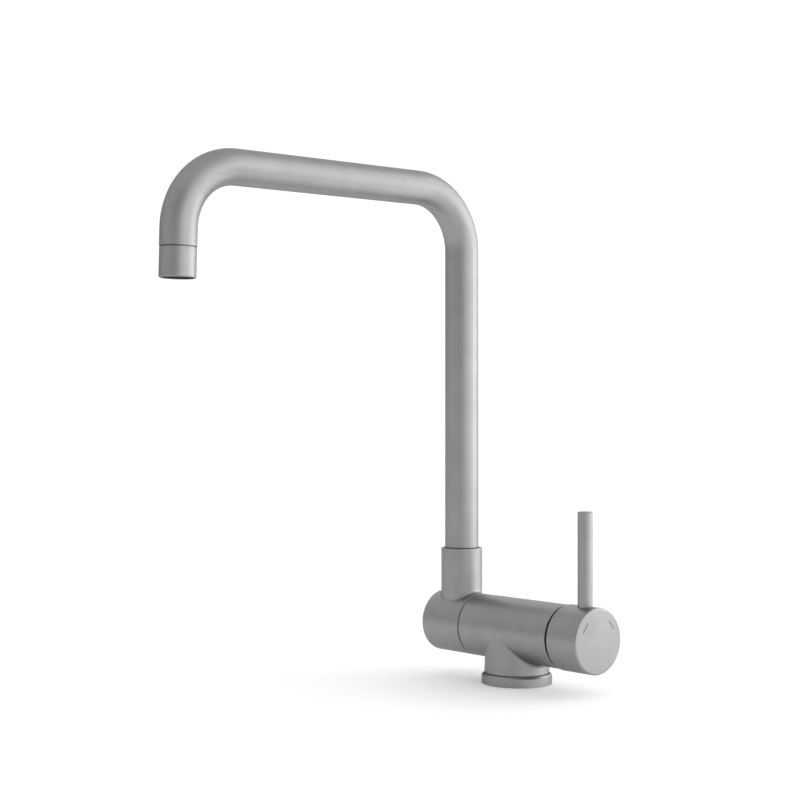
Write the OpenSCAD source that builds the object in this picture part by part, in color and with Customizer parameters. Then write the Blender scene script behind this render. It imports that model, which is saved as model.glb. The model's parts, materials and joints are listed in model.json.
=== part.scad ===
// Folding tap: a horizontal barrel on a neck, a hub that folds about the barrel and a tall swivelling spout.
// The origin is the middle of the foot on the deck, +X runs to the handle, -Y to the user and +Z up.

/* [Barrel and neck] */
// Diameter of the barrel and of the hub
barrel_d = 43.6; // [43:0.2:48]
// Height of the barrel's axis above the deck
axis_h = 36.7; // [36:0.1:46]
// Neck's axis to the hub's end of the barrel
hub_side = 36.6; // [35:0.1:46]
// Neck's axis to the handle's end of the barrel
cap_side = 47.5; // [46:0.1:58]
// Diameter of the neck at its foot
neck_d = 45.4; // [44.6:0.2:46.6]
// How much slimmer the neck is than the barrel where their axes cross
neck_draft = 0.5; // [0.3:0.1:1.2]
// Radius of the blend between neck and barrel
neck_blend = 3; // [2:0.25:4]
// Chamfer on the rims of the barrel and of the hub's seam
rim_edge = 0.3; // [0.2:0.1:0.6]

/* [Base ring] */
// Width of the ring beyond the neck
ring_rim = 1.8; // [1.8:0.1:5]
// Height of the ring
ring_h = 7; // [6.6:0.1:9]
// Height of the ledge that carries the neck
ring_seat_h = 5; // [3.6:0.1:5.2]
// Width of the gap between ring and neck
ring_gap = 0.4; // [0.3:0.1:0.4]
// Chamfer on the ring's top edge
ring_edge = 1.2; // [0.5:0.1:1.2]
// Diameter of the foot inside the ring
foot_d = 37.8; // [34:0.2:39]
// Middle diameter of the seal under the ring
base_seal_d = 44; // [43:0.2:44.4]
// Thickness of the seal under the ring
base_seal_t = 2.1; // [1.6:0.1:2.6]

/* [Water and fixing holes] */
// Core diameter of the hose threads, M10 x 1
inlet_d = 9; // [8:0.1:10.4]
// Depth of the hose threads
inlet_depth = 13; // [10:0.5:16]
// Distance between the two hose threads
inlet_spacing = 18; // [17:0.5:19]
// Place of the hose threads along the barrel
inlet_x = 2; // [0:0.5:4]
// Diameter of the drillings above the hose threads
feed_d = 6; // [5:0.2:6.6]
// Core diameter of the fixing stud's thread, M8
stud_d = 6.8; // [5:0.1:8]
// Depth of the stud's thread
stud_depth = 14; // [10:0.5:18]
// Neck's axis to the stud's thread
stud_offset = 11.5; // [11:0.25:13]
// Diameter of the mixed water drilling along the barrel
mixed_d = 8; // [6:0.5:9]

/* [Fold hub] */
// Length of the hub
hub_len = 37.4; // [37:0.1:44]
// Gap between hub and barrel
seam_gap = 0.9; // [0.5:0.1:1]
// Rounding of the hub's far edge
hub_edge = 1; // [0.5:0.1:1.4]
// Outer diameter of the collar
collar_d = 29.4; // [28.8:0.2:32]
// Height of the collar above the hub
collar_h = 31.7; // [31:0.1:44]
// Rounding of the collar's top edge
collar_edge = 0.8; // [0.4:0.1:1]
// Radius of the blend between collar and hub
collar_blend = 3; // [2:0.25:4]
// Angle through which the spout folds
fold_angle = 90; // [60:1:100]

/* [Pivot] */
// Diameter of the spindle in the hub
journal_d = 20; // [18:0.2:21]
// Diameter of the spindle's water bore
spindle_bore_d = 11; // [9:0.5:12]
// Diameter of the spindle's thread in the barrel
screw_in_d = 17.6; // [16:0.2:19]
// Length of the spindle's thread in the barrel
screw_in_len = 12; // [8:0.5:14]
// Diameter of the spindle's flange
flange_d = 26; // [24:0.5:27]
// Thickness of the spindle's flange
flange_t = 3; // [2:0.25:4]
// Diameter of the ports in the spindle
port_d = 7; // [5:0.5:8]
// Diameter of the water chamber in the hub
chamber_d = 27; // [25:0.5:28]
// Length of the water chamber in the hub
chamber_len = 10.6; // [9:0.2:11]
// Diameter of the thread that holds the hub
tail_d = 12; // [10:0.5:13]
// Depth of the pocket in the hub's far end
pocket_depth = 8.4; // [8.2:0.1:9]
// Diameter of the pocket in the hub's far end
pocket_d = 32; // [31:0.5:35]
// Diameter of the stop pin
stop_d = 4; // [3:0.25:4.5]
// Axis to the stop pin
stop_r = 17; // [16.6:0.1:17.2]
// Reach of the stop pin into the hub
stop_reach = 3.4; // [2.5:0.1:4]

/* [Spout] */
// Outer diameter of the tube
tube_d = 24; // [23.6:0.1:25]
// Wall of the tube
tube_wall = 1.2; // [1:0.1:1.5]
// Radius of both bends at the tube's middle
bend_r = 43; // [34:0.5:60]
// Column to outlet, before the outlet leans out
reach = 241.7; // [180:0.1:280]
// Height of the arm's axis above the deck
arm_h = 346; // [260:1:400]
// Length of the straight end of the tube above the aerator
drop_len = 11.7; // [7:0.1:60]
// Diameter of the aerator
aerator_d = 23.7; // [23:0.1:25]
// Length of the aerator
aerator_len = 19.2; // [18:0.2:26]
// Gap between tube and aerator
aerator_gap = 0.6; // [0.3:0.1:0.8]
// Diameter of the spigot in the collar
spigot_d = 22.8; // [22:0.1:23.2]
// Diameter of the water bore in the spigot
spigot_bore_d = 15; // [12:0.5:16]
// Length of the spigot inside the tube
spigot_grip = 14; // [8:0.5:20]
// Thickness of the glide ring on the collar
glide_t = 0.4; // [0.3:0.1:1.2]
// Diameter of the screw that keeps the spigot in the collar, M5
lock_d = 5; // [4:0.5:6]

/* [Cartridge] */
// Diameter of the cartridge
cartridge_d = 32; // [31.6:0.2:33]
// Length of the cartridge's housing
cartridge_len = 18; // [17:0.5:20]
// Thickness of the cartridge's base
cartridge_base_t = 4; // [3.4:0.1:5]
// Diameter of the thread of the cartridge's nut
cartridge_nut_d = 36; // [34.6:0.2:37]
// Depth of the pocket for the cartridge's nut
nut_pocket = 11.6; // [9:0.2:13]
// Across flats of the cartridge's nut
nut_flats = 26; // [22:0.5:26]
// Diameter of the ports in base and disc
valve_port_d = 5.4; // [4:0.2:5.6]
// Thickness of each ceramic disc
disc_t = 3; // [2.4:0.1:3.4]
// Diameter of the stem
stem_d = 10; // [8:0.5:10.5]

/* [Handle] */
// Diameter of the cap
cap_d = 44.6; // [44:0.2:48]
// Length of the cap
cap_len = 26.5; // [26:0.1:34]
// Gap between cap and barrel
cap_gap = 2.2; // [1.2:0.1:2.4]
// Rounding of the cap's front edge
cap_edge = 1.2; // [0.6:0.1:1.6]
// Depth of the hollow behind the cap's front
cap_hollow = 11.5; // [9:0.5:12]
// Diameter of the lever
lever_d = 10; // [8:0.2:11]
// Length of the lever above the cap
lever_len = 63; // [40:1:90]
// Cap's rear face to the lever's axis
lever_place = 14.6; // [14.5:0.1:16]
// Depth of the lever's seat below the cap's crown
lever_seat = 3; // [2:0.25:4]
// Diameter of the lever's thread
lever_thread_d = 6; // [5:0.5:7]
// Diameter of the set screw below the stem, M5
set_screw_d = 5; // [4:0.5:6]
// Length of each mark on the cap's face
mark_len = 7; // [3:0.5:8]
// Width of each mark
mark_w = 1; // [0.6:0.1:1.4]
// Depth of each mark
mark_depth = 0.3; // [0.2:0.1:0.6]
// Cap's axis to the marks
mark_r = 16; // [12:0.2:17]
// Angle between lever and marks
mark_angle = 51; // [30:1:80]

/* [Fits] */
// Radial clearance of turning and sliding fits
run_fit = 0.05; // [0.02:0.01:0.1]
// Radial clearance of screwed and pressed pieces
still_fit = 0.05; // [0.02:0.01:0.1]
// Clearance of faces that pass without touching
free_gap = 0.3; // [0.2:0.05:0.4]
// Thickness of the seal rings in their grooves
seal_t = 1.7; // [1.4:0.1:1.8]

/* [Hidden] */
$fn = 96;

steel = [0.60, 0.60, 0.60];
bright_steel = [0.74, 0.74, 0.74];
brass = [0.76, 0.62, 0.34];
rubber = [0.10, 0.10, 0.10];
dark_plastic = [0.16, 0.16, 0.17];
pale_plastic = [0.80, 0.80, 0.78];
ceramic = [0.93, 0.92, 0.88];

// Extra length of a cut beyond the face that it opens
over = 0.2;
// How far two forms of one piece run into each other
fuse = 1;
// Chamfer that breaks a sharp edge
fine_edge = 0.2;
// How far a blend bites into the two forms that it joins
blend_bite = 0.06;
// Depth of a blend's hidden root behind the crease between the two forms
blend_root = 1.5;
blend_steps = 6;
// Socket and point of a headless screw as shares of its thread
socket_share = 0.58;
point_share = 0.6;
socket_depth_share = 0.6;
// Turns of a blend's sections round the branch
blend_turns = [for (turn = [0 : 5 : 355]) turn];

// Places along the barrel
barrel_r = barrel_d / 2;
hub_right = -hub_side - seam_gap;
hub_left = hub_right - hub_len;
column_x = hub_right - hub_len / 2;
cap_back = cap_side + cap_gap;
cap_face = cap_back + cap_len;
lever_x = cap_back + lever_place;
housing_end = cap_side - nut_pocket;
disc_start = housing_end - cartridge_len;
seat_x = disc_start - cartridge_base_t;

// Neck and ring
neck_top_d = barrel_d - neck_draft;
neck_flare = (neck_d - neck_top_d) / 2 / (axis_h - ring_seat_h);
ring_d = neck_d + 2 * ring_rim;
ring_bore_d = foot_d + 2 * still_fit;
ring_recess_d = neck_d + 2 * ring_gap;
base_groove_gap = 0.2;

// Pivot
gasket_t = 0.8;
thrust_play = 0.1;
thrust_t = seam_gap - thrust_play;
thrust_pin_gap = 0.5;
thrust_d = 2 * (stop_r - stop_d / 2 - thrust_pin_gap);
flange_pocket = flange_t + gasket_t;
screw_in_end = -hub_side + flange_pocket + screw_in_len;
screw_in_room = 3;
journal_bore_d = journal_d + 2 * run_fit;
pocket_floor = hub_left + pocket_depth;
end_cap_t = 1.6;
end_cap_rim = 1.4;
end_cap_reach = 3;
end_cap_edge = 0.4;
tail_room = 0.5;
tail_end = hub_left + end_cap_t + tail_room;
pressure_t = 1;
pressure_gap = 1;
pressure_d = pocket_d - 2 * pressure_gap;
spring_t = 0.7;
spring_h = 1.5;
spring_rim = 2;
pivot_nut_share = 1.5;
pivot_nut_flats = tail_d * pivot_nut_share;
pivot_nut_t = 3.5;
pressure_x = pocket_floor - run_fit;
spring_x = pressure_x - pressure_t;
pivot_nut_x = spring_x - spring_h;
stop_sunk = 6;
stop_angle = 270;
stop_play = 0.2;
stop_end_gap = 0.6;
stop_edge = 0.3;
// Ends of the water chamber, and the two seals on the spindle midway between them and the hub's bearing ends
chamber_left = column_x - chamber_len / 2;
chamber_right = column_x + chamber_len / 2;
seal_groove_w = seal_t + 2 * free_gap;
pivot_seal_places = [(chamber_right + hub_right) / 2, (chamber_left + pocket_floor) / 2];
riser_d = chamber_len - 2 * fine_edge;

// Spout
tube_bore_d = tube_d - 2 * tube_wall;
collar_top = axis_h + barrel_r + collar_h;
collar_bore_d = spigot_d + 2 * run_fit;
tube_bottom = collar_top + glide_t;
glide_proud = 0.6;
glide_d = tube_d + 2 * glide_proud;
spigot_web = 5;
spigot_room = 1;
spigot_edge = 0.6;
spigot_floor = axis_h + chamber_d / 2 + spigot_web;
spigot_bottom = spigot_floor + spigot_room;
lock_land = 6;
lock_z = spigot_bottom + lock_land;
lock_point_d = lock_d * point_share;
lock_groove_w = lock_point_d + 2 * free_gap;
lock_groove_depth = 1.8;
lock_groove_d = spigot_d - 2 * lock_groove_depth;
spout_seal_top = 6;
spout_seal_pitch = 7;
spout_seal_places = [collar_top - spout_seal_top, collar_top - spout_seal_top - spout_seal_pitch];
// The outlet leans out, by a turn with a sine and a cosine that are round to six figures
outlet_lean = 1.5858;
outlet_drop = drop_len + aerator_gap + aerator_len;
aerator_mouth = 2.2;
aerator_mouth_wall = 1.25;
aerator_lip = 1.5;
aerator_lip_w = 0.9;
aerator_edge = 0.5;
aerator_wall = 2.2;
aerator_bore_d = aerator_d - 2 * aerator_wall;
aerator_thread_len = 6.5;
aerator_seal_t = 2;
aerator_seal_w = 3.5;
insert_h = 12;
insert_floor = 2.6;
insert_wall = 1.2;
jet_d = 1.5;
jet_pitch = 2.3;
jet_rings = 3;

// Cartridge
cartridge_bore_d = cartridge_d + 2 * still_fit;
housing_wall = 1.7;
cavity_d = cartridge_d - 2 * housing_wall;
disc_d = cavity_d - 2 * still_fit;
disc_gap = 0.5;
moving_disc_d = disc_d - 2 * disc_gap;
inlet_drop = 3;
inlet_ports = [[-inlet_spacing / 2, -inlet_drop], [inlet_spacing / 2, -inlet_drop]];
port_seal_t = 1.6;
port_seal_w = 1.7;
lobe_r = norm(inlet_ports[0]) + valve_port_d / 2 + free_gap;
// Start and width of the two openings in the moving disc, cold then hot
disc_lobes = [[130, 40], [235, 50]];
disc_hub_d = 7;
disc_recess = 1.4;
carrier_t = 4.6;
carrier_d = moving_disc_d;
dog_d = 2.4;
dog_len = 1.4;
dog_gap = 0.1;
dog_r = 9.5;
dog_angles = [20, 200];
nut_stem_gap = 3;
nut_hole_d = stem_d + 2 * nut_stem_gap;
nut_sunk = 2.6;
nut_thread_len = nut_pocket - nut_sunk;
nut_hex_proud = 4;
nut_hex_end = cap_side + nut_hex_proud;
nut_len = nut_hex_end - housing_end;

// Handle
cap_wall = 4.2;
cap_front = 4.1;
guide_d = cap_d - 2 * cap_wall - 2 * run_fit;
guide_reach = 4;
guide_flange_t = cap_gap - free_gap;
guide_set_back = 3;
guide_flange_d = cap_d - 2 * guide_set_back;
guide_nut_gap = 0.5;
guide_bore_d = nut_flats / cos(30) + 2 * guide_nut_gap;
hollow_end = cap_back + cap_hollow;
stem_end = cap_face - cap_front - free_gap;
stem_flat = 1;
set_screw_len = 6;
set_screw_point = 1.2;
lever_seat_z = axis_h + cap_d / 2 - lever_seat;
lever_top_z = axis_h + cap_d / 2 + lever_len;
lever_gap = 0.35;
lever_tip_gap = 1;
lever_tip_z = axis_h + stem_d / 2 + lever_tip_gap;
lever_edge = 0.4;

// Local Z runs along the barrel, from the place x on its axis
module on_axis(x) {
    translate([x, 0, axis_h]) rotate([0, 90, 0]) children();
}

// Local Z runs up the column, from the height z
module on_column(z) {
    translate([column_x, 0, z]) children();
}

// Local Z runs up the outlet's leaning axis, from a place below the end of the bend
module on_outlet(drop) {
    translate([column_x, bend_r - reach, arm_h - bend_r]) rotate([-outlet_lean, 0, 0])
        translate([0, -bend_r, -drop]) children();
}

// Ring with a square section that stands on the local XY plane
module washer(outer_d, inner_d, t) {
    difference() {
        cylinder(h = t, d = outer_d);
        translate([0, 0, -over]) cylinder(h = t + 2 * over, d = inner_d);
    }
}

// Round seal ring about the local Z axis, centred on the XY plane
module seal_ring(middle_d, t) {
    rotate_extrude() translate([middle_d / 2, 0]) circle(d = t, $fn = 48);
}

// Groove round a shaft, centred on the XY plane
module groove(shaft_d, floor_d, w) {
    translate([0, 0, -w / 2]) washer(shaft_d + 2 * over, floor_d, w);
}

// Headless screw with a hexagon socket, point down at the origin
module socket_screw(d, l, point_d, point_l) {
    socket_depth = (l - point_l) * socket_depth_share;
    difference() {
        union() {
            translate([0, 0, point_l]) cylinder(h = l - point_l, d = d);
            cylinder(h = point_l + over, d = point_d);
        }
        translate([0, 0, l - socket_depth]) cylinder(h = socket_depth + over, d = d * socket_share, $fn = 6);
    }
}

// Profile of a round bar from z = 0 to h with a chamfer at each end
module chamfered_bar(d, h, low_edge, high_edge) {
    rotate_extrude() polygon([
        [0, 0], [d / 2 - low_edge, 0], [d / 2, low_edge],
        [d / 2, h - high_edge], [d / 2 - high_edge, h], [0, h]
    ]);
}

// Round bar from z = 0 to h with its far edge rounded and its near edge chamfered
module rounded_bar(d, h, near_edge, far_round) {
    rotate_extrude() {
        polygon([
            [0, 0], [d / 2 - near_edge, 0], [d / 2, near_edge], [d / 2, h - far_round],
            [d / 2 - far_round, h - far_round], [d / 2 - far_round, h], [0, h]
        ]);
        translate([d / 2 - far_round, h - far_round]) intersection() {
            circle(r = far_round);
            square(far_round);
        }
    }
}

// Height at which a ball's centre stays when it rolls between a barrel along X and a flaring branch along Z
function ball_height(away, near, flare, turn) =
    let (
        share = sin(turn) * sin(turn),
        lean = flare * near * share,
        scale = 1 + flare * flare * share
    )
    (sqrt(lean * lean - scale * (near * near * share - away * away)) - lean) / scale;

// One section of the blend that the rolling ball leaves
function blend_section(turn, main_r, axis_r, flare, ball_r) =
    let (
        away = main_r + ball_r - blend_bite,
        height = ball_height(away, axis_r + ball_r - blend_bite, flare, turn),
        branch_r = axis_r + flare * height,
        out = branch_r + ball_r - blend_bite,
        side = out * sin(turn),
        centre = [out * cos(turn), side, height],
        to_branch = [-cos(turn), -sin(turn), 0],
        to_main = [0, -side, -centre.z] / away,
        sweep = acos(to_branch * to_main),
        inward = to_branch + to_main
    )
    concat(
        [for (i = [0 : blend_steps])
            centre + ball_r * (sin(sweep * (1 - i / blend_steps)) * to_branch
                + sin(sweep * i / blend_steps) * to_main) / sin(sweep)],
        [centre + inward / norm(inward) * (ball_r / cos(sweep / 2) + blend_root)]
    );

// Ring of a blend, skinned through its sections; the branch has axis_r at the barrel's axis
module blend(main_r, axis_r, flare, ball_r) {
    per = blend_steps + 2;
    count = len(blend_turns);
    polyhedron(
        points = [for (turn = blend_turns) each blend_section(turn, main_r, axis_r, flare, ball_r)],
        faces = [for (i = [0 : count - 1], j = [0 : per - 1])
            let (a = i * per, b = ((i + 1) % count) * per, k = (j + 1) % per)
            each [[a + j, b + k, b + j], [a + j, a + k, b + k]]]
    );
}

// Bent path of the spout as a solid bar, each straight end longer by extra
module spout_path(d, extra) {
    on_column(tube_bottom - extra) cylinder(h = arm_h - bend_r - tube_bottom + extra, d = d);
    on_column(arm_h - bend_r) translate([0, -bend_r, 0]) rotate([90, 0, 90])
        rotate_extrude(angle = 90) translate([bend_r, 0]) circle(d = d);
    on_column(arm_h) translate([0, -bend_r, 0]) rotate([90, 0, 0])
        cylinder(h = reach - 2 * bend_r, d = d);
    on_column(arm_h - bend_r) translate([0, bend_r - reach, 0]) rotate([90, 0, 90]) rotate([0, 0, 90])
        rotate_extrude(angle = 90 - outlet_lean) translate([bend_r, 0]) circle(d = d);
    on_outlet(drop_len + extra) cylinder(h = drop_len + extra, d = d);
}

module valve_body() {
    color(steel) difference() {
        union() {
            on_axis(-hub_side) chamfered_bar(barrel_d, hub_side + cap_side, rim_edge, rim_edge);
            translate([0, 0, ring_seat_h]) cylinder(h = axis_h - ring_seat_h, d1 = neck_d, d2 = neck_top_d);
            cylinder(h = ring_seat_h + over, d = foot_d);
            translate([0, 0, axis_h]) mirror([0, 0, 1])
                blend(barrel_r, neck_top_d / 2, neck_flare, neck_blend);
        }
        on_axis(seat_x) cylinder(h = cap_side - seat_x + over, d = cartridge_bore_d);
        on_axis(housing_end) cylinder(h = nut_pocket + over, d = cartridge_nut_d);
        on_axis(-hub_side - over) cylinder(h = flange_pocket + over, d = flange_d + 2 * still_fit);
        on_axis(-hub_side) cylinder(h = flange_pocket + screw_in_len + screw_in_room, d = screw_in_d);
        on_axis(-hub_side) cylinder(h = hub_side + seat_x + over, d = mixed_d);
        on_axis(-hub_side - over) rotate([0, 0, stop_angle]) translate([0, stop_r, 0])
            cylinder(h = stop_sunk + over, d = stop_d + 2 * still_fit);
        for (port = inlet_ports) {
            translate([inlet_x, port[0], -over]) cylinder(h = inlet_depth + over, d = inlet_d);
            translate([inlet_x, port[0], 0]) cylinder(h = axis_h + port[1] + feed_d / 2, d = feed_d);
            translate([inlet_x, port[0], axis_h + port[1]]) rotate([0, 90, 0])
                cylinder(h = seat_x - inlet_x + over, d = valve_port_d);
        }
        translate([-stud_offset, 0, -over]) cylinder(h = stud_depth + over, d = stud_d);
    }
}

module base_ring() {
    groove_w = base_seal_t + 2 * base_groove_gap;
    groove_depth = base_seal_t + base_groove_gap;
    color(steel) difference() {
        chamfered_bar(ring_d, ring_h, fine_edge, ring_edge);
        translate([0, 0, -over]) cylinder(h = ring_h + 2 * over, d = ring_bore_d);
        translate([0, 0, ring_seat_h]) cylinder(h = ring_h, d = ring_recess_d);
        translate([0, 0, -over]) washer(base_seal_d + groove_w, base_seal_d - groove_w, groove_depth + over);
    }
}

module base_seal() {
    color(rubber) translate([0, 0, (base_seal_t + base_groove_gap) / 2]) seal_ring(base_seal_d, base_seal_t);
}

module pivot_spindle() {
    color(brass) difference() {
        union() {
            on_axis(-hub_side) cylinder(h = flange_pocket + screw_in_len, d = screw_in_d - 2 * still_fit);
            on_axis(-hub_side) cylinder(h = flange_t, d = flange_d);
            on_axis(pocket_floor + free_gap) cylinder(h = -hub_side - pocket_floor, d = journal_d);
            on_axis(tail_end) cylinder(h = pocket_floor - tail_end + fuse, d = tail_d);
        }
        on_axis(chamber_left) cylinder(h = screw_in_end - chamber_left + over, d = spindle_bore_d);
        for (turn = [0, 90])
            on_axis(column_x) rotate([90, 0, turn])
                cylinder(h = journal_d + 2 * over, d = port_d, center = true);
        for (place = pivot_seal_places)
            on_axis(place) groove(journal_d, journal_d - 2 * seal_t, seal_groove_w);
    }
}

module spindle_gasket() {
    color(rubber) on_axis(-hub_side + flange_t) washer(flange_d, screw_in_d + 2 * still_fit, gasket_t);
}

module pivot_seals() {
    color(rubber) for (place = pivot_seal_places)
        on_axis(place) seal_ring(journal_d - seal_t, seal_t - 2 * still_fit);
}

module thrust_washer() {
    color(dark_plastic) on_axis(-hub_side - thrust_t) washer(thrust_d, journal_bore_d, thrust_t);
}

module pressure_washer() {
    color(bright_steel) on_axis(pressure_x - pressure_t)
        washer(pressure_d, tail_d + 2 * still_fit, pressure_t);
}

module disc_spring() {
    inner_r = tail_d / 2 + still_fit;
    outer_r = pivot_nut_flats / 2 + spring_rim;
    rise = spring_h - spring_t;
    color(bright_steel) on_axis(pivot_nut_x) rotate_extrude() polygon([
        [inner_r, 0], [inner_r, spring_t], [outer_r, rise + spring_t], [outer_r, rise]
    ]);
}

module pivot_nut() {
    color(brass) on_axis(pivot_nut_x - pivot_nut_t) difference() {
        cylinder(h = pivot_nut_t, d = pivot_nut_flats / cos(30), $fn = 6);
        translate([0, 0, -over]) cylinder(h = pivot_nut_t + 2 * over, d = tail_d + 2 * still_fit);
    }
}

module stop_pin() {
    color(bright_steel) on_axis(-hub_side - stop_reach) rotate([0, 0, stop_angle]) translate([0, stop_r, 0])
        chamfered_bar(stop_d, stop_reach + stop_sunk, stop_edge, stop_edge);
}

// Holes of the three water ports, from local z = 0 up
module valve_ports(h, d) {
    cylinder(h = h, d = d);
    for (port = inlet_ports) translate([-port[1], port[0], 0]) cylinder(h = h, d = d);
}

module cartridge_base() {
    seal_pocket_d = valve_port_d + 2 * port_seal_w + 2 * still_fit;
    color(dark_plastic) on_axis(seat_x) difference() {
        cylinder(h = cartridge_base_t, d = cartridge_d);
        translate([0, 0, -over]) valve_ports(cartridge_base_t + 2 * over, valve_port_d);
        translate([0, 0, -over]) valve_ports(port_seal_t + over, seal_pocket_d);
    }
}

module port_seals() {
    color(rubber) on_axis(seat_x) difference() {
        valve_ports(port_seal_t, valve_port_d + 2 * port_seal_w);
        translate([0, 0, -over]) valve_ports(port_seal_t + 2 * over, valve_port_d);
    }
}

module fixed_disc() {
    color(ceramic) on_axis(disc_start) difference() {
        cylinder(h = disc_t, d = disc_d);
        translate([0, 0, -over]) valve_ports(disc_t + 2 * over, valve_port_d);
    }
}

module cartridge_housing() {
    room = 2 * disc_t + carrier_t + free_gap;
    color(pale_plastic) on_axis(disc_start) difference() {
        cylinder(h = cartridge_len, d = cartridge_d);
        translate([0, 0, -over]) cylinder(h = room + over, d = cavity_d);
        cylinder(h = cartridge_len + over, d = stem_d + 2 * run_fit);
    }
}

module cartridge_nut() {
    color(brass) difference() {
        union() {
            on_axis(housing_end) cylinder(h = nut_thread_len, d = cartridge_nut_d - 2 * still_fit);
            on_axis(housing_end) cylinder(h = nut_len, d = nut_flats / cos(30), $fn = 6);
        }
        on_axis(housing_end - over) cylinder(h = nut_len + 2 * over, d = nut_hole_d);
    }
}

module guide_ring() {
    color(dark_plastic) on_axis(cap_side) difference() {
        union() {
            cylinder(h = guide_flange_t, d = guide_flange_d);
            cylinder(h = cap_gap + guide_reach, d = guide_d);
        }
        translate([0, 0, -over]) cylinder(h = cap_gap + guide_reach + 2 * over, d = guide_bore_d);
    }
}

// Curved slot for the stop pin, from the hub's seam
module stop_slot() {
    slot_d = stop_d + 2 * stop_play;
    slot_depth = stop_reach - seam_gap + stop_end_gap;
    on_axis(hub_right - slot_depth) {
        rotate([0, 0, stop_angle + 90 - fold_angle]) rotate_extrude(angle = fold_angle)
            translate([stop_r - slot_d / 2, 0]) square([slot_d, slot_depth + over]);
        for (turn = [0, fold_angle])
            rotate([0, 0, stop_angle - turn]) translate([0, stop_r, 0])
                cylinder(h = slot_depth + over, d = slot_d);
    }
}

module fold_hub() {
    color(steel) difference() {
        union() {
            on_axis(hub_right) mirror([0, 0, 1]) rounded_bar(barrel_d, hub_len, rim_edge, hub_edge);
            on_column(axis_h) rounded_bar(collar_d, collar_top - axis_h, fine_edge, collar_edge);
            on_column(axis_h) blend(barrel_r, collar_d / 2, 0, collar_blend);
        }
        on_axis(pocket_floor - over) cylinder(h = hub_right - pocket_floor + 2 * over, d = journal_bore_d);
        on_axis(chamber_left) cylinder(h = chamber_len, d = chamber_d);
        on_axis(hub_left - over) cylinder(h = pocket_depth + over, d = pocket_d);
        on_column(axis_h) cylinder(h = collar_top - axis_h, d = riser_d);
        on_column(spigot_floor) cylinder(h = collar_top - spigot_floor + over, d = collar_bore_d);
        on_column(lock_z) rotate([-90, 0, 0]) cylinder(h = collar_d, d = lock_d + 2 * still_fit);
        stop_slot();
    }
}

module hub_end_cap() {
    color(steel) on_axis(hub_left) difference() {
        chamfered_bar(pocket_d - 2 * still_fit, end_cap_t + end_cap_reach, end_cap_edge, fine_edge);
        translate([0, 0, end_cap_t])
            cylinder(h = end_cap_reach + over, d = pocket_d - 2 * end_cap_rim);
    }
}

module lock_screw() {
    point_y = lock_groove_d / 2 + free_gap;
    point_l = collar_bore_d / 2 + free_gap - point_y;
    color(bright_steel) on_column(lock_z) translate([0, point_y, 0]) rotate([-90, 0, 0])
        socket_screw(lock_d, collar_d / 2 - free_gap - point_y, lock_point_d, point_l);
}

module spout_tube() {
    color(steel) difference() {
        spout_path(tube_d, 0);
        spout_path(tube_bore_d, over);
    }
}

module spout_spigot() {
    length = tube_bottom + spigot_grip - spigot_bottom;
    color(brass) difference() {
        union() {
            on_column(spigot_bottom)
                chamfered_bar(spigot_d, tube_bottom - spigot_bottom, spigot_edge, fine_edge);
            on_column(tube_bottom - fuse) cylinder(h = spigot_grip + fuse, d = tube_bore_d - 2 * still_fit);
        }
        on_column(spigot_bottom - over) cylinder(h = length + 2 * over, d = spigot_bore_d);
        on_column(lock_z) groove(spigot_d, lock_groove_d, lock_groove_w);
        for (place = spout_seal_places)
            on_column(place) groove(spigot_d, spigot_d - 2 * seal_t, seal_groove_w);
    }
}

module spout_seals() {
    color(rubber) for (place = spout_seal_places)
        on_column(place) seal_ring(spigot_d - seal_t, seal_t - 2 * still_fit);
}

module glide_ring() {
    color(dark_plastic) on_column(collar_top) washer(glide_d, collar_bore_d, glide_t);
}

module aerator_housing() {
    length = aerator_len + aerator_gap + aerator_thread_len;
    color(steel) on_outlet(outlet_drop) difference() {
        union() {
            chamfered_bar(aerator_d, aerator_len, aerator_edge, fine_edge);
            translate([0, 0, aerator_mouth])
                cylinder(h = length - aerator_mouth, d = tube_bore_d - 2 * still_fit);
        }
        translate([0, 0, -over]) cylinder(h = aerator_mouth + over, d = aerator_d - 2 * aerator_mouth_wall);
        translate([0, 0, aerator_mouth + aerator_lip]) cylinder(h = length, d = aerator_bore_d);
        cylinder(h = length, d = aerator_bore_d - 2 * aerator_lip_w);
    }
}

module aerator_insert() {
    insert_d = aerator_bore_d - 2 * still_fit;
    color(dark_plastic) on_outlet(outlet_drop - aerator_mouth - aerator_lip) difference() {
        cylinder(h = insert_h, d = insert_d);
        translate([0, 0, insert_floor]) cylinder(h = insert_h, d = insert_d - 2 * insert_wall);
        for (i = [-jet_rings : jet_rings], j = [-jet_rings : jet_rings])
            if (abs(i + j) <= jet_rings)
                translate([jet_pitch * (i + j / 2), jet_pitch * j * sin(60), -over])
                    cylinder(h = insert_floor + 2 * over, d = jet_d, $fn = 24);
    }
}

module aerator_seal() {
    color(rubber) on_outlet(outlet_drop - aerator_mouth - aerator_lip - insert_h)
        washer(aerator_bore_d - 2 * still_fit, aerator_bore_d - 2 * aerator_seal_w, aerator_seal_t);
}

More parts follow.
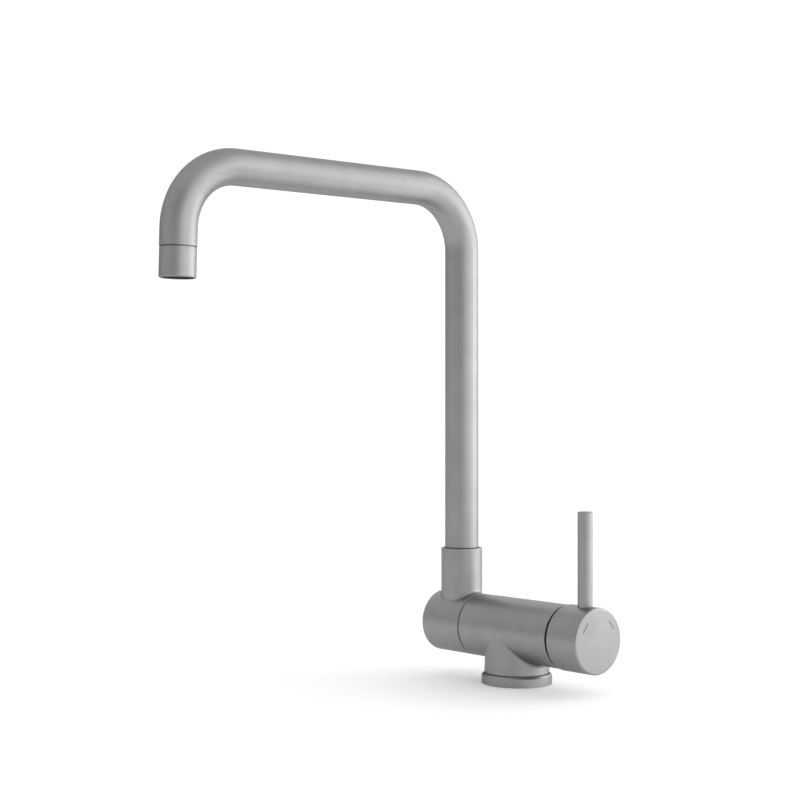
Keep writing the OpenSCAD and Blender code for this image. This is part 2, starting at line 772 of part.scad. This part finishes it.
module handle_cap() {
    stem_room = stem_end - hollow_end + free_gap;
    color(bright_steel) difference() {
        on_axis(cap_back) rounded_bar(cap_d, cap_len, rim_edge, cap_edge);
        on_axis(cap_back - over) cylinder(h = cap_hollow + over, d = cap_d - 2 * cap_wall);
        on_axis(hollow_end - over) cylinder(h = stem_room + over, d = stem_d + 2 * still_fit);
        translate([lever_x, 0, axis_h]) cylinder(h = cap_d, d = lever_thread_d + 2 * still_fit);
        translate([lever_x, 0, lever_seat_z]) cylinder(h = cap_d, d = lever_d + 2 * lever_gap);
        translate([lever_x, 0, axis_h - cap_d]) cylinder(h = cap_d, d = set_screw_d + 2 * still_fit);
        for (turn = [-mark_angle, mark_angle])
            translate([cap_face - mark_depth, 0, axis_h]) rotate([turn, 0, 0])
                translate([0, -mark_len / 2, mark_r - mark_w / 2])
                    cube([mark_depth + over, mark_len, mark_w]);
    }
}

module lever_pin() {
    color(steel) {
        translate([lever_x, 0, lever_seat_z])
            chamfered_bar(lever_d, lever_top_z - lever_seat_z, fine_edge, lever_edge);
        translate([lever_x, 0, lever_tip_z])
            cylinder(h = lever_seat_z - lever_tip_z + fuse, d = lever_thread_d);
    }
}

module set_screw() {
    color(bright_steel) translate([lever_x, 0, axis_h - stem_d / 2 + stem_flat]) mirror([0, 0, 1])
        socket_screw(set_screw_d, set_screw_len, set_screw_d * point_share, set_screw_point);
}

module cartridge_stem() {
    carrier_x = disc_start + 2 * disc_t;
    color(brass) difference() {
        union() {
            on_axis(carrier_x) cylinder(h = carrier_t, d = carrier_d);
            on_axis(carrier_x) cylinder(h = stem_end - carrier_x, d = stem_d);
            for (turn = dog_angles)
                on_axis(carrier_x - dog_len) rotate([0, 0, turn]) translate([dog_r, 0, 0])
                    cylinder(h = dog_len + fuse, d = dog_d);
        }
        translate([hollow_end, -stem_d, axis_h - stem_d - stem_d / 2 + stem_flat])
            cube([stem_end - hollow_end + over, 2 * stem_d, stem_d]);
    }
}

module moving_disc() {
    color(ceramic) on_axis(disc_start + disc_t) difference() {
        cylinder(h = disc_t, d = moving_disc_d);
        translate([0, 0, -over]) cylinder(h = disc_recess + over, d = disc_hub_d);
        for (lobe = disc_lobes) translate([0, 0, -over]) rotate([0, 0, lobe[0] + 90])
            rotate_extrude(angle = lobe[1]) square([lobe_r, disc_recess + over]);
        for (turn = dog_angles) translate([0, 0, disc_t - dog_len - dog_gap]) rotate([0, 0, turn])
            translate([dog_r, 0, 0]) cylinder(h = dog_len + dog_gap + over, d = dog_d + 2 * still_fit);
    }
}

valve_body();
base_ring();
base_seal();
pivot_spindle();
spindle_gasket();
pivot_seals();
thrust_washer();
pressure_washer();
disc_spring();
pivot_nut();
stop_pin();
cartridge_base();
port_seals();
fixed_disc();
cartridge_housing();
cartridge_nut();
guide_ring();
fold_hub();
hub_end_cap();
lock_screw();
spout_tube();
spout_spigot();
spout_seals();
glide_ring();
aerator_housing();
aerator_insert();
aerator_seal();
handle_cap();
lever_pin();
set_screw();
cartridge_stem();
moving_disc();
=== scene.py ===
"""Looks of the folding tap: satin steel with painted shade in the neck's joint and the outlet's mouth, dark
seams and seals, a pale floor and soft studio light.
"""
import json
import math
from collections import namedtuple

import bpy
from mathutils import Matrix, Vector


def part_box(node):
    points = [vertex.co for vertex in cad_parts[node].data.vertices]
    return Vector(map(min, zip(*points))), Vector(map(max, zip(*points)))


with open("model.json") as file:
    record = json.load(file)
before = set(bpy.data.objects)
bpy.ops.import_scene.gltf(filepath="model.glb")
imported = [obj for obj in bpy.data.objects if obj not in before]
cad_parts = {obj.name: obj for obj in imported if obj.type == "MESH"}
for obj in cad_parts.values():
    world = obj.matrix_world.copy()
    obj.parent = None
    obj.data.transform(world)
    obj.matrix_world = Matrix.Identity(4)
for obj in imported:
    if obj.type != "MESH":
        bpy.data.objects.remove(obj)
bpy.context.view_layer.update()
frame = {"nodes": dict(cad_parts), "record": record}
nodes = frame["nodes"]
record = frame["record"]

# Camera of the photograph: place and reach in metres, sensor in millimetres, focal length in pixels of the
# square image
IMAGE_SIDE = 800
FOCAL_PIXELS = 1645.18
SENSOR_WIDTH = 36.0
CAMERA_PLACE = (0.81319, -0.80889, 0.19638)
CAMERA_YAW = 0.85894
CAMERA_REACH = 100.0

# Studio light by sides: turn in degrees to the right of the camera's side, level near the horizon and level
# half-way up
Side = namedtuple("Side", "turn low high")
BACK_LEFT = Side(-160, 1.1, 1.5)
LEFT_BACK = Side(-135, 0.4, 0.8)
LEFT = Side(-60, 0.6, 0.8)
FRONT = Side(0, 0.3, 0.3)
FRONT_RIGHT = Side(40, 2.4, 1.4)
RIGHT = Side(80, 2.2, 1.4)
RIGHT_BACK = Side(107, 3.4, 2.7)
BACK_RIGHT = Side(152, 1.5, 1.4)
BACK = Side(180, 1.1, 1.5)
SIDES = (BACK_LEFT, LEFT_BACK, LEFT, FRONT, FRONT_RIGHT, RIGHT, RIGHT_BACK, BACK_RIGHT, BACK)
# Level overhead, and the sines of the heights between which one light passes over to the next
TOP_LEVEL = 0.82
LOW_TO_HIGH = (0.10, 0.35)
HIGH_TO_TOP = (0.50, 0.85)
# Soft box that stands on the floor at the right: the place it faces, its turn, distance, size and level
PANEL_AIM = (-0.05, -0.10)
PANEL_TURN = 100
PANEL_AWAY = 0.5
PANEL_WIDTH = 0.4
PANEL_HEIGHT = 0.35
PANEL_LEVEL = 1.0
# Pale floor: half its side, its colour and roughness, and the share of white that it adds where it is seen
FLOOR_HALF = 30.0
FLOOR_COLOUR = (0.9, 0.9, 0.9, 1)
FLOOR_ROUGH = 0.9
FLOOR_LIFT = 0.14

# Usual span of noise values, and the places of the two colours on a ramp that noise drives
NOISE_SPAN = (0.25, 0.75)
RAMP_STOPS = (0.3, 0.7)
# Depth of every bump, in metres
BUMP_DEPTH = 0.0001
# Grain of the brushed steel, in cells per metre along X, Y and Z: turned about X, or about an upright axis
TURNED = (3000, 90, 90)
AROUND = (90, 90, 3000)
# Satin steel: its greys, roughness and darker edge, cells of its faint clouds and strength of its grain
STEEL_DARK = (0.308, 0.308, 0.311)
STEEL_LIGHT = (0.338, 0.338, 0.341)
STEEL_ROUGH = (0.38, 0.48)
EDGE_TINT = (0.6, 0.6, 0.6, 1)
CLOUDS = (60, 60, 60)
GRAIN_STRENGTH = 0.05
# Painted shade inside the outlet's mouth, where the recess lies in shade: wall at its mouth, fade and level
# of the colour
MOUTH_WALL = 0.0012
MOUTH_SHADE_FADE = 0.0002
MOUTH_SHADE_LEVEL = 0.4
# Painted shadow line on the neck above the base ring, for the shade in the joint: half its height, fade and
# level of the colour
SHADE_LINE_HALF = 0.0004
SHADE_LINE_FADE = 0.0003
SHADE_LINE_LEVEL = 0.3
# Inner metals and mouldings: turning marks, spans of roughness and strength of the pores
TURNING = (2400, 300, 300)
METAL_ROUGH_SPAN = 0.1
MOULDED_ROUGH_SPAN = 0.08
PORE_STRENGTH = 0.1


class Shader:
    """A node material that grows by short calls."""

    def __init__(self, name):
        self.material = bpy.data.materials.new(name)
        self.material.use_nodes = True
        self.tree = self.material.node_tree
        self.surface = self.tree.nodes["Principled BSDF"]
        self.coordinates = self.tree.nodes.new("ShaderNodeTexCoord").outputs["Object"]

    def node(self, kind, **settings):
        made = self.tree.nodes.new(kind)
        for key, value in settings.items():
            setattr(made, key, value)
        return made

    def link(self, source, target):
        self.tree.links.new(source, target)

    def set(self, **values):
        for key, value in values.items():
            self.surface.inputs[key.replace("_", " ")].default_value = value

    def noise(self, stretch, detail=3.0, roughness=0.55):
        """Noise whose grain is stretched: stretch gives its cells per metre along X, Y and Z."""
        mapping = self.node("ShaderNodeMapping")
        mapping.inputs["Scale"].default_value = stretch
        self.link(self.coordinates, mapping.inputs["Vector"])
        noise = self.node("ShaderNodeTexNoise")
        noise.inputs["Scale"].default_value = 1.0
        noise.inputs["Detail"].default_value = detail
        noise.inputs["Roughness"].default_value = roughness
        self.link(mapping.outputs["Vector"], noise.inputs["Vector"])
        return noise.outputs["Fac"]

    def spread(self, value, low, high):
        """Maps noise from its usual span to low and high."""
        spread = self.node("ShaderNodeMapRange")
        spread.inputs["From Min"].default_value = NOISE_SPAN[0]
        spread.inputs["From Max"].default_value = NOISE_SPAN[1]
        spread.inputs["To Min"].default_value = low
        spread.inputs["To Max"].default_value = high
        self.link(value, spread.inputs["Value"])
        return spread.outputs["Result"]

    def ramp(self, value, dark, light):
        """Base colour that goes from dark to light with noise."""
        ramp = self.node("ShaderNodeValToRGB")
        for stop, place, colour in zip(ramp.color_ramp.elements, RAMP_STOPS, (dark, light)):
            stop.position = place
            stop.color = (*colour, 1)
        self.link(value, ramp.inputs["Fac"])
        self.colour = ramp.outputs["Color"]
        self.link(self.colour, self.surface.inputs["Base Color"])

    def distance(self, place, axes):
        """Distance from a place, counted only along the axes that are 1."""
        away = self.node("ShaderNodeVectorMath", operation="SUBTRACT")
        away.inputs[1].default_value = place
        self.link(self.coordinates, away.inputs[0])
        counted = self.node("ShaderNodeVectorMath", operation="MULTIPLY")
        counted.inputs[1].default_value = axes
        self.link(away.outputs["Vector"], counted.inputs[0])
        length = self.node("ShaderNodeVectorMath", operation="LENGTH")
        self.link(counted.outputs["Vector"], length.inputs[0])
        return length.outputs["Value"]

    def darken(self, distance, edge, fade, level):
        """Takes the ramp's colour down to level where distance is below edge, and fades out beyond it."""
        share = self.node("ShaderNodeMapRange")
        share.inputs["From Min"].default_value = edge
        share.inputs["From Max"].default_value = edge + fade
        share.inputs["To Min"].default_value = level
        self.link(distance, share.inputs["Value"])
        shaded = self.node("ShaderNodeVectorMath", operation="SCALE")
        self.link(self.colour, shaded.inputs[0])
        self.link(share.outputs["Result"], shaded.inputs["Scale"])
        self.link(shaded.outputs["Vector"], self.surface.inputs["Base Color"])

    def bump(self, value, strength):
        bump = self.node("ShaderNodeBump")
        bump.inputs["Strength"].default_value = strength
        bump.inputs["Distance"].default_value = BUMP_DEPTH
        self.link(value, bump.inputs["Height"])
        self.link(bump.outputs["Normal"], self.surface.inputs["Normal"])

    def roughness(self, value, low, high):
        self.link(self.spread(value, low, high), self.surface.inputs["Roughness"])


def satin_steel(name, grain):
    """Satin stainless steel, brushed across the direction in which grain is dense."""
    shader = Shader(name)
    shader.set(Metallic=1.0, Specular_Tint=EDGE_TINT)
    clouds = shader.noise(CLOUDS, detail=2.0)
    brushed = shader.noise(grain, detail=4.0)
    shader.ramp(clouds, STEEL_DARK, STEEL_LIGHT)
    shader.roughness(brushed, *STEEL_ROUGH)
    shader.bump(brushed, GRAIN_STRENGTH)
    return shader


def outlet_steel_painted_shade():
    """Steel of the outlet, with painted shade inside its mouth."""
    shader = satin_steel("satin_steel_outlet_painted_shade", AROUND)
    low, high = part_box("aerator_housing")
    middle = [(a + b) / 2 for a, b in zip(low, high)]
    mouth_radius = (high[0] - low[0]) / 2 - MOUTH_WALL
    # Painted shade: the outlet's steel is darkened inside its mouth, where the recess lies in shade
    shader.darken(shader.distance(middle, (1, 1, 0)), mouth_radius, MOUTH_SHADE_FADE, MOUTH_SHADE_LEVEL)
    return shader


def neck_steel_painted_shade():
    """Steel of the valve body, with a painted shadow line where the neck goes into the base ring."""
    shader = satin_steel("satin_steel_neck_painted_shade", TURNED)
    # Painted shadow: a band of the neck just above the base ring is darkened for the shade in the joint
    ring_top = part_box("base_ring")[1][2]
    line = (0, 0, ring_top + SHADE_LINE_HALF)
    shader.darken(shader.distance(line, (0, 0, 1)), SHADE_LINE_HALF, SHADE_LINE_FADE, SHADE_LINE_LEVEL)
    return shader


def plain_metal(name, dark, light, rough):
    """Turned or drawn metal of the inner pieces."""
    shader = Shader(name)
    shader.set(Metallic=1.0)
    turned = shader.noise(TURNING)
    shader.ramp(turned, dark, light)
    shader.roughness(turned, rough, rough + METAL_ROUGH_SPAN)
    return shader


def moulded(name, dark, light, rough, grain):
    """Moulded plastic, rubber or ceramic with a fine surface grain."""
    shader = Shader(name)
    pores = shader.noise((grain, grain, grain))
    shader.ramp(pores, dark, light)
    shader.roughness(pores, rough, rough + MOULDED_ROUGH_SPAN)
    shader.bump(pores, PORE_STRENGTH)
    return shader


# Finish of each material slot in the record, and of the nodes that have their own
slot_finish = {
    "satin_steel": satin_steel("satin_steel", TURNED),
    "plain_steel": plain_metal("plain_steel", (0.42, 0.42, 0.42), (0.55, 0.55, 0.55), 0.28),
    "brass": plain_metal("brass", (0.56, 0.40, 0.17), (0.66, 0.49, 0.23), 0.26),
    "rubber": moulded("rubber", (0.010, 0.010, 0.010), (0.020, 0.020, 0.020), 0.62, 900),
    "dark_plastic": moulded("dark_plastic", (0.012, 0.012, 0.013), (0.024, 0.024, 0.025), 0.45, 1500),
    "pale_plastic": moulded("pale_plastic", (0.58, 0.58, 0.56), (0.66, 0.66, 0.64), 0.40, 1500),
    "ceramic": moulded("ceramic", (0.80, 0.78, 0.73), (0.86, 0.84, 0.79), 0.22, 2200),
}
upright_steel = satin_steel("satin_steel_upright", AROUND)
own_finish = {
    "spout_tube": upright_steel,
    "lever_pin": upright_steel,
    "base_ring": upright_steel,
    "aerator_housing": outlet_steel_painted_shade(),
    "valve_body": neck_steel_painted_shade(),
}

for part in record["subparts"]:
    finish = own_finish.get(part["node"], slot_finish[part["material_slot"]])
    mesh = nodes[part["node"]].data
    mesh.materials.clear()
    mesh.materials.append(finish.material)


def make_floor():
    """A wide pale floor under the foot that keeps the object's shadow."""
    corners = [(x * FLOOR_HALF, y * FLOOR_HALF, 0) for x, y in ((-1, -1), (1, -1), (1, 1), (-1, 1))]
    mesh = bpy.data.meshes.new("floor")
    mesh.from_pydata(corners, [], [(0, 1, 2, 3)])
    floor = bpy.data.objects.new("floor", mesh)
    bpy.context.scene.collection.objects.link(floor)
    shader = Shader("pale_floor")
    shader.set(Base_Color=FLOOR_COLOUR, Roughness=FLOOR_ROUGH, Emission_Color=(1, 1, 1, 1))
    paths = shader.node("ShaderNodeLightPath")
    seen = shader.node("ShaderNodeMath", operation="ADD")
    shader.link(paths.outputs["Is Camera Ray"], seen.inputs[0])
    shader.link(paths.outputs["Is Glossy Ray"], seen.inputs[1])
    through = shader.node("ShaderNodeMath", operation="ADD")
    shader.link(seen.outputs["Value"], through.inputs[0])
    shader.link(paths.outputs["Is Transmission Ray"], through.inputs[1])
    lift = shader.node("ShaderNodeMath", operation="MULTIPLY")
    lift.inputs[1].default_value = FLOOR_LIFT
    shader.link(through.outputs["Value"], lift.inputs[0])
    shader.link(lift.outputs["Value"], shader.surface.inputs["Emission Strength"])
    mesh.materials.append(shader.material)


def make_world():
    """A pale studio: dim in front, brightest at the right and white behind the object."""
    world = bpy.data.worlds.new("studio")
    bpy.context.scene.world = world
    world.use_nodes = True
    tree = world.node_tree
    background = tree.nodes["Background"]
    direction = tree.nodes.new("ShaderNodeTexCoord").outputs["Generated"]

    def along(axis):
        """Share of the direction that lies along an axis."""
        dot = tree.nodes.new("ShaderNodeVectorMath")
        dot.operation = "DOT_PRODUCT"
        dot.inputs[1].default_value = axis
        tree.links.new(direction, dot.inputs[0])
        return dot.outputs["Value"]

    def ranged(value, low, high, kind="LINEAR"):
        """Share of the way from low to high."""
        node = tree.nodes.new("ShaderNodeMapRange")
        node.interpolation_type = kind
        node.inputs["From Min"].default_value = low
        node.inputs["From Max"].default_value = high
        tree.links.new(value, node.inputs["Value"])
        return node.outputs["Result"]

    turn = tree.nodes.new("ShaderNodeMath")
    turn.operation = "ARCTAN2"
    tree.links.new(along((math.cos(CAMERA_YAW), math.sin(CAMERA_YAW), 0)), turn.inputs[0])
    tree.links.new(along((math.sin(CAMERA_YAW), -math.cos(CAMERA_YAW), 0)), turn.inputs[1])
    round_share = ranged(turn.outputs["Value"], -math.pi, math.pi)
    height = along((0, 0, 1))

    def ring(levels):
        """Light that goes from one side's level to the next with the turn."""
        ramp = tree.nodes.new("ShaderNodeValToRGB")
        stops = ramp.color_ramp.elements
        while len(stops) < len(SIDES):
            stops.new(1.0)
        for stop, side, level in zip(stops, SIDES, levels):
            stop.position = (side.turn + 180) / 360
            stop.color = (level, level, level, 1)
        tree.links.new(round_share, ramp.inputs["Fac"])
        return ramp.outputs["Color"]

    def over(lower, heights):
        """Mix that passes from the lower light to its input B between two heights."""
        mix = tree.nodes.new("ShaderNodeMix")
        tree.links.new(ranged(height, *heights, "SMOOTHSTEP"), mix.inputs["Factor"])
        tree.links.new(lower, mix.inputs["A"])
        return mix

    walls = over(ring([side.low for side in SIDES]), LOW_TO_HIGH)
    tree.links.new(ring([side.high for side in SIDES]), walls.inputs["B"])
    dome = over(walls.outputs["Result"], HIGH_TO_TOP)
    dome.inputs["B"].default_value = TOP_LEVEL
    tree.links.new(dome.outputs["Result"], background.inputs["Strength"])
    background.inputs["Color"].default_value = (1, 1, 1, 1)


def make_panel():
    """A low soft box, so near that the spout sees it below eye level as well. The camera doesn't see it."""
    data = bpy.data.lights.new("panel", "AREA")
    data.shape = "RECTANGLE"
    data.size = PANEL_WIDTH
    data.size_y = PANEL_HEIGHT
    # A flat lamp of level 1 gives pi watts per square metre
    data.energy = PANEL_LEVEL * math.pi * PANEL_WIDTH * PANEL_HEIGHT
    panel = bpy.data.objects.new("panel", data)
    angle = CAMERA_YAW - math.pi / 2 + math.radians(PANEL_TURN)
    panel.location = (
        PANEL_AIM[0] + PANEL_AWAY * math.cos(angle),
        PANEL_AIM[1] + PANEL_AWAY * math.sin(angle),
        PANEL_HEIGHT / 2,
    )
    panel.rotation_euler = (math.pi / 2, 0, angle + math.pi / 2)
    panel.visible_camera = False
    bpy.context.scene.collection.objects.link(panel)


def make_camera():
    """The camera at the photograph's place, looking level."""
    data = bpy.data.cameras.new("camera")
    data.sensor_width = SENSOR_WIDTH
    data.lens = FOCAL_PIXELS / IMAGE_SIDE * SENSOR_WIDTH
    data.clip_end = CAMERA_REACH
    camera = bpy.data.objects.new("camera", data)
    camera.location = CAMERA_PLACE
    camera.rotation_euler = (math.pi / 2, 0, CAMERA_YAW)
    bpy.context.scene.collection.objects.link(camera)
    bpy.context.scene.camera = camera


make_camera()
make_floor()
make_world()
make_panel()

bpy.context.scene.view_settings.view_transform = "Standard"
